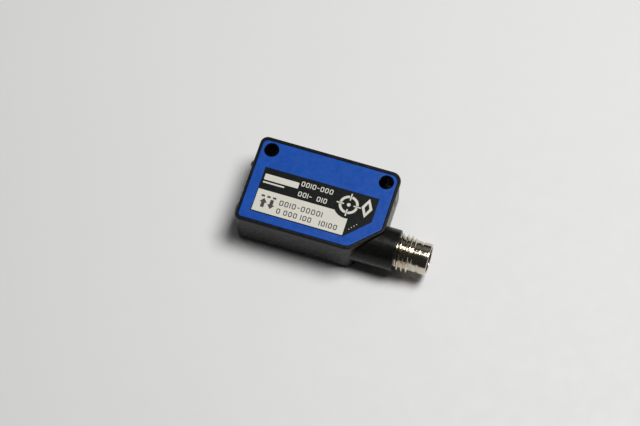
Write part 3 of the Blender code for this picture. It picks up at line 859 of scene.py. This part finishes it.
def guide_arm(colour, low, high):
    """The arm from a light guide's head to its LED, in X and Z."""
    inside, middle, end = X_LOW + WALL + FIT, GUIDE_Z[colour], high.x
    if colour == "yellow":
        z0, z1 = GUIDE_ARM_Z
        return [(inside, z0), (end, z0), (end, z1), (inside, z1)]
    return [
        (inside, middle - GUIDE_HALF),
        (end - GUIDE_FOOT, middle - GUIDE_HALF),
        (end - GUIDE_FOOT, low.z),
        (end, low.z),
        (end, middle - 0.1),
        (end - 0.8, middle + GUIDE_HALF),
        (inside, middle + GUIDE_HALF),
    ]


def make_guides():
    """The two clear guides, each a domed head with an arm."""
    y = Y_LOW + GUIDE_FROM_EDGE
    for colour, z in GUIDE_Z.items():
        low, high = box_mm(f"light_guide_{colour}")
        top, foot = low.x, X_LOW + WALL + GUIDE_INSIDE
        shoulder = X_LOW + WALLS_BACK - GUIDE_SHOULDER
        profile = [(0, foot), (GUIDE_R, foot)]
        for k in range(11):
            a = k * math.pi / 20
            r, x = GUIDE_R * math.cos(a), shoulder + (top - shoulder) * math.sin(a)
            profile.append((r if k < 10 else 0, x))
        arm = [(y + side, guide_arm(colour, low, high)) for side in GUIDE_ARM_Y]
        place(
            f"light_guide_{colour}_clear",
            turned(profile, 48),
            GUIDE,
            matrix=at(0, y, z, ALONG_X),
            replaces=(f"light_guide_{colour}",),
            steps=[("UNION", along_y(arm), at(0, 0, 0))],
        )


# Connector


def thread_radius(height, start, end, core):
    """The radius of the threaded part at this height, as a function of the angle."""
    flank_start, flank_width = 0.88, 0.70
    run_in, run_out = 0.25, 0.55

    def radius(angle):
        phase = ((height - start) / THREAD_PITCH - angle / (2 * math.pi)) % 1.0
        from_crest = min(phase, 1 - phase) * 2
        flank = min(1.0, max(0.0, (flank_start - from_crest) / flank_width))
        tooth = flank * flank * (3 - 2 * flank) * 0.5 + flank * 0.5
        fade = min(1.0, max(0.0, (height - start) / run_in), max(0.0, (end - height) / run_out))
        return core + (THREAD_R - core) * tooth * fade

    return radius


def make_sleeve():
    """The plated sleeve: a root in the collar, the thread, a grooved nose and an open mouth."""
    face = COLLAR_END + FIT
    start, end = face + 0.12, COLLAR_END + THREAD_LENGTH
    core = THREAD_ROOT_R - 0.05
    heights = [start + (end - start) * k / THREAD_ROWS for k in range(THREAD_ROWS + 1)]
    groove = end + NOSE_GROOVE_FROM_THREAD
    nose_end = sleeve_high.x
    rim, mouth = 0.2, 0.12
    profile = [
        (CUP_R, sleeve_low.x),
        (COLLAR_BORE_R - FIT, sleeve_low.x),
        (COLLAR_BORE_R - FIT, face),
        (core, face),
        *[(thread_radius(height, start, end, core), height) for height in heights],
        (core, end + 0.2),
        (NOSE_R - 0.04, end + 0.24),
        (NOSE_R, end + 0.3),
        *[(NOSE_R - depth, groove + along) for along, depth in NOSE_GROOVE],
        (NOSE_R, nose_end - 0.28),
        *arc((NOSE_R - rim, nose_end - rim), rim, 15, 90, 5),
        (CUP_R + mouth, nose_end),
        *arc((CUP_R + mouth, nose_end - mouth), mouth, 100, 180, 3),
    ]
    sleeve = turned(profile, 96, closed=True)
    matrix = at(0, PLUG.y, PLUG.z, ALONG_X)
    place("sleeve_nickel", sleeve, NICKEL, matrix=matrix, replaces=("connector_sleeve",))


def make_insert():
    """The black insert that holds the pins."""
    wide, narrow, edge = COLLAR_BORE_R - FIT, CUP_R - FIT, 0.15
    neck = wide - SEAL_GROOVE_DEPTH
    shoulder = sleeve_low.x - FIT
    x0, x1 = carrier_low.x, carrier_high.x
    ring_low, ring_high = SEAL_GROOVE_X
    profile = [
        (0, x0),
        (wide, x0),
        (wide, ring_low),
        (neck, ring_low),
        (neck, ring_high),
        (wide, ring_high),
        (wide, shoulder),
        (narrow, shoulder),
        *arc((narrow - edge, x1 - edge), edge, 0, 90, 4),
        (0, x1),
    ]
    steps = []
    for k in range(1, 5):
        spot = centre_mm(f"contact_pin_{k}")
        hole = flared(PIN_R + FIT, 0.0, x1 - x0 + 2, 0.12, segments=32)
        drill = at(x1, spot.y, spot.z, ALONG_X @ UPSIDE_DOWN)
        steps.append(("DIFFERENCE", hole, drill))
    place(
        "contact_insert",
        turned(profile, 72),
        BLACK_ABS,
        matrix=at(0, PLUG.y, PLUG.z, ALONG_X),
        replaces=("contact_carrier",),
        steps=steps,
    )


def make_pins():
    """The four gold-plated pins, with domed tips."""
    edge = 0.06
    for k in range(1, 5):
        name = f"contact_pin_{k}"
        low, high = box_mm(name)
        spot, dome = centre_mm(name), high.x - PIN_TIP
        profile = [(0, low.x), (PIN_R - edge, low.x), (PIN_R, low.x + edge), (PIN_R, dome)]
        for i in range(1, 8):
            a = i * math.pi / 14
            profile.append((PIN_R * math.cos(a) ** 0.8 if i < 7 else 0, dome + PIN_TIP * math.sin(a)))
        matrix = at(0, spot.y, spot.z, ALONG_X)
        place(f"pin_{k}_gold", turned(profile, 32), GOLD, matrix=matrix, replaces=(name,))


# Pieces that keep their CAD shape

KEPT = {
    BLACK_ABS: ["optics_carrier"],
    LENS: ["collimator_lens"],
    SPLITTER: ["beam_splitter"],
    POLARISER: ["emitter_polariser", "receiver_polariser"],
    LED_CLEAR: ["emitter_led", "status_led_yellow", "status_led_green"],
    CHIP_EPOXY: [
        "receiver_photodiode",
        "signal_chip",
        "voltage_regulator",
        "output_transistor_high",
        "output_transistor_low",
        "protection_diode",
    ],
    TANTALUM: ["tantalum_capacitor"],
    CAPACITOR: [f"capacitor_{k}" for k in range(1, 5)],
    RESISTOR: [f"resistor_{k}" for k in range(1, 5)],
    BOARD: ["main_board", "connector_board"],
    STEEL: ["switch_body"],
    BUTTON_BLACK: ["switch_plunger"],
    RUBBER: ["button_seal", "carrier_seal_ring"],
}


def smoothing_group():
    """A modifier's nodes that shade a mesh smooth, apart from its sharp edges."""
    group = bpy.data.node_groups.new("smooth_by_angle", "GeometryNodeTree")
    group.interface.new_socket("Geometry", in_out="INPUT", socket_type="NodeSocketGeometry")
    group.interface.new_socket("Geometry", in_out="OUTPUT", socket_type="NodeSocketGeometry")
    nodes, link = group.nodes, group.links.new
    start, end = nodes.new("NodeGroupInput"), nodes.new("NodeGroupOutput")
    angle = nodes.new("GeometryNodeInputMeshEdgeAngle")
    compare = nodes.new("FunctionNodeCompare")
    compare.data_type, compare.operation = "FLOAT", "LESS_THAN"
    compare.inputs["B"].default_value = SMOOTH_ANGLE
    faces, edges = (nodes.new("GeometryNodeSetShadeSmooth") for _ in range(2))
    faces.domain, edges.domain = "FACE", "EDGE"
    link(start.outputs[0], faces.inputs["Geometry"])
    link(faces.outputs[0], edges.inputs["Geometry"])
    link(angle.outputs["Unsigned Angle"], compare.inputs["A"])
    link(compare.outputs[0], edges.inputs["Shade Smooth"])
    link(edges.outputs[0], end.inputs[0])
    return group


def dress_cad_nodes():
    """Gives the inner pieces their materials. Their meshes stay the CAD's."""
    group = smoothing_group()
    for material, names in KEPT.items():
        for name in names:
            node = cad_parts[name]
            node.data.materials.clear()
            node.data.materials.append(material)
            weld = node.modifiers.new("weld", "WELD")
            weld.merge_threshold = 1e-7
            smooth = node.modifiers.new("smooth", "NODES")
            smooth.node_group = group


# Stage


def make_floor():
    """A plain pale floor that reaches three metres to each side."""
    bm = bmesh.new()
    bmesh.ops.create_grid(bm, x_segments=1, y_segments=1, size=3000)
    floor = to_object("floor", bm)
    n = Nodes("floor_paper")
    n.set("Base Color", n.mix(n.noise(60.0, 3.0), (0.765, 0.77, 0.775), (0.80, 0.80, 0.80)))
    n.set("Roughness", n.ramp(n.noise(4.0, 3.0), 0.3, 0.7, 0.55, 0.65))
    n.set("Normal", n.bump(n.noise(0.5, 3.0), 0.01))
    floor.data.materials.append(n.material)


def area_light(name, location, size, power, colour):
    """A soft light that faces the object."""
    data = bpy.data.lights.new(name, "AREA")
    data.shape = "RECTANGLE"
    data.size, data.size_y = size
    data.energy = power
    data.color = colour
    light = bpy.data.objects.new(name, data)
    light.location = location
    light.rotation_euler = (Vector() - Vector(location)).to_track_quat("-Z", "Y").to_euler()
    bpy.context.scene.collection.objects.link(light)


def make_lights():
    """A key light behind on the connector's side, a strip overhead and a wide, weak light at the back."""
    world = bpy.data.worlds.new("studio")
    bpy.context.scene.world = world
    world.use_nodes = True
    background = world.node_tree.nodes["Background"]
    background.inputs["Color"].default_value = (0.97, 0.985, 1.0, 1.0)
    background.inputs["Strength"].default_value = 0.025
    area_light("key", (0.165, 0.102, 0.555), (0.24, 0.24), 3.15, (1.0, 0.995, 0.985))
    area_light("overhead", (-0.085, 0.04, 0.62), (0.07, 0.40), 0.18, (1.0, 0.99, 0.97))
    area_light("back", (0.0, 0.75, 0.62), (1.2, 0.55), 0.25, (1.0, 0.97, 0.92))


def make_camera():
    """Looks down on the label from the connector's side of the near long wall."""
    data = bpy.data.cameras.new("camera")
    data.sensor_width = 36.0
    data.lens = 140.625
    data.clip_start, data.clip_end = 0.01, 20.0
    camera = bpy.data.objects.new("camera", data)
    aim = Matrix.Translation(Vector(CAMERA_AIM) * MM)
    swing = Matrix.Rotation(math.radians(CAMERA_AZIMUTH), 4, "Z")
    tilt = Matrix.Rotation(math.radians(90 - CAMERA_ELEVATION), 4, "X")
    roll = Matrix.Rotation(math.radians(CAMERA_ROLL), 4, "Z")
    boom = Matrix.Translation((0, 0, CAMERA_BOOM * MM))
    camera.matrix_world = aim @ swing @ tilt @ roll @ boom
    bpy.context.scene.collection.objects.link(camera)
    bpy.context.scene.camera = camera


bpy.context.scene.view_settings.view_transform = "Standard"
make_housing()
make_cover()
make_label()
make_window()
make_button()
make_guides()
make_sleeve()
make_insert()
make_pins()
dress_cad_nodes()
make_floor()
make_lights()
make_camera()
